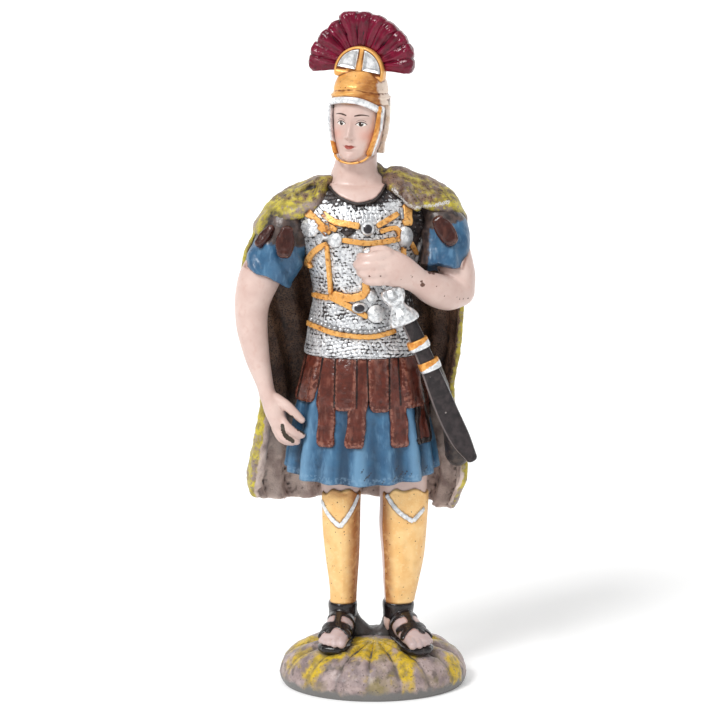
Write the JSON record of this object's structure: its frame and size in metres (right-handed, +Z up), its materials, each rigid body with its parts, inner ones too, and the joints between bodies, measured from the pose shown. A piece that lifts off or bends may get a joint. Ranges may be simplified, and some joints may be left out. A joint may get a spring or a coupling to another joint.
{
  "type": "painted soldier figurine",
  "caption": "Painted plaster figurine of a Roman soldier in a crested helmet and cloak, one hand on a sheathed sword, cast with a domed base.",
  "frame": {"origin": "middle of the base's flat underside", "axes": "+Z up the figure; the figure faces -Y; +X is to the right of someone who looks at its face"},
  "size_m": [0.0721, 0.0483, 0.2025],
  "materials": {
    "painted_plaster": "satin"
  },
  "bodies": {
    "root": {"statue": "painted_plaster"}
  },
  "joints": []
}
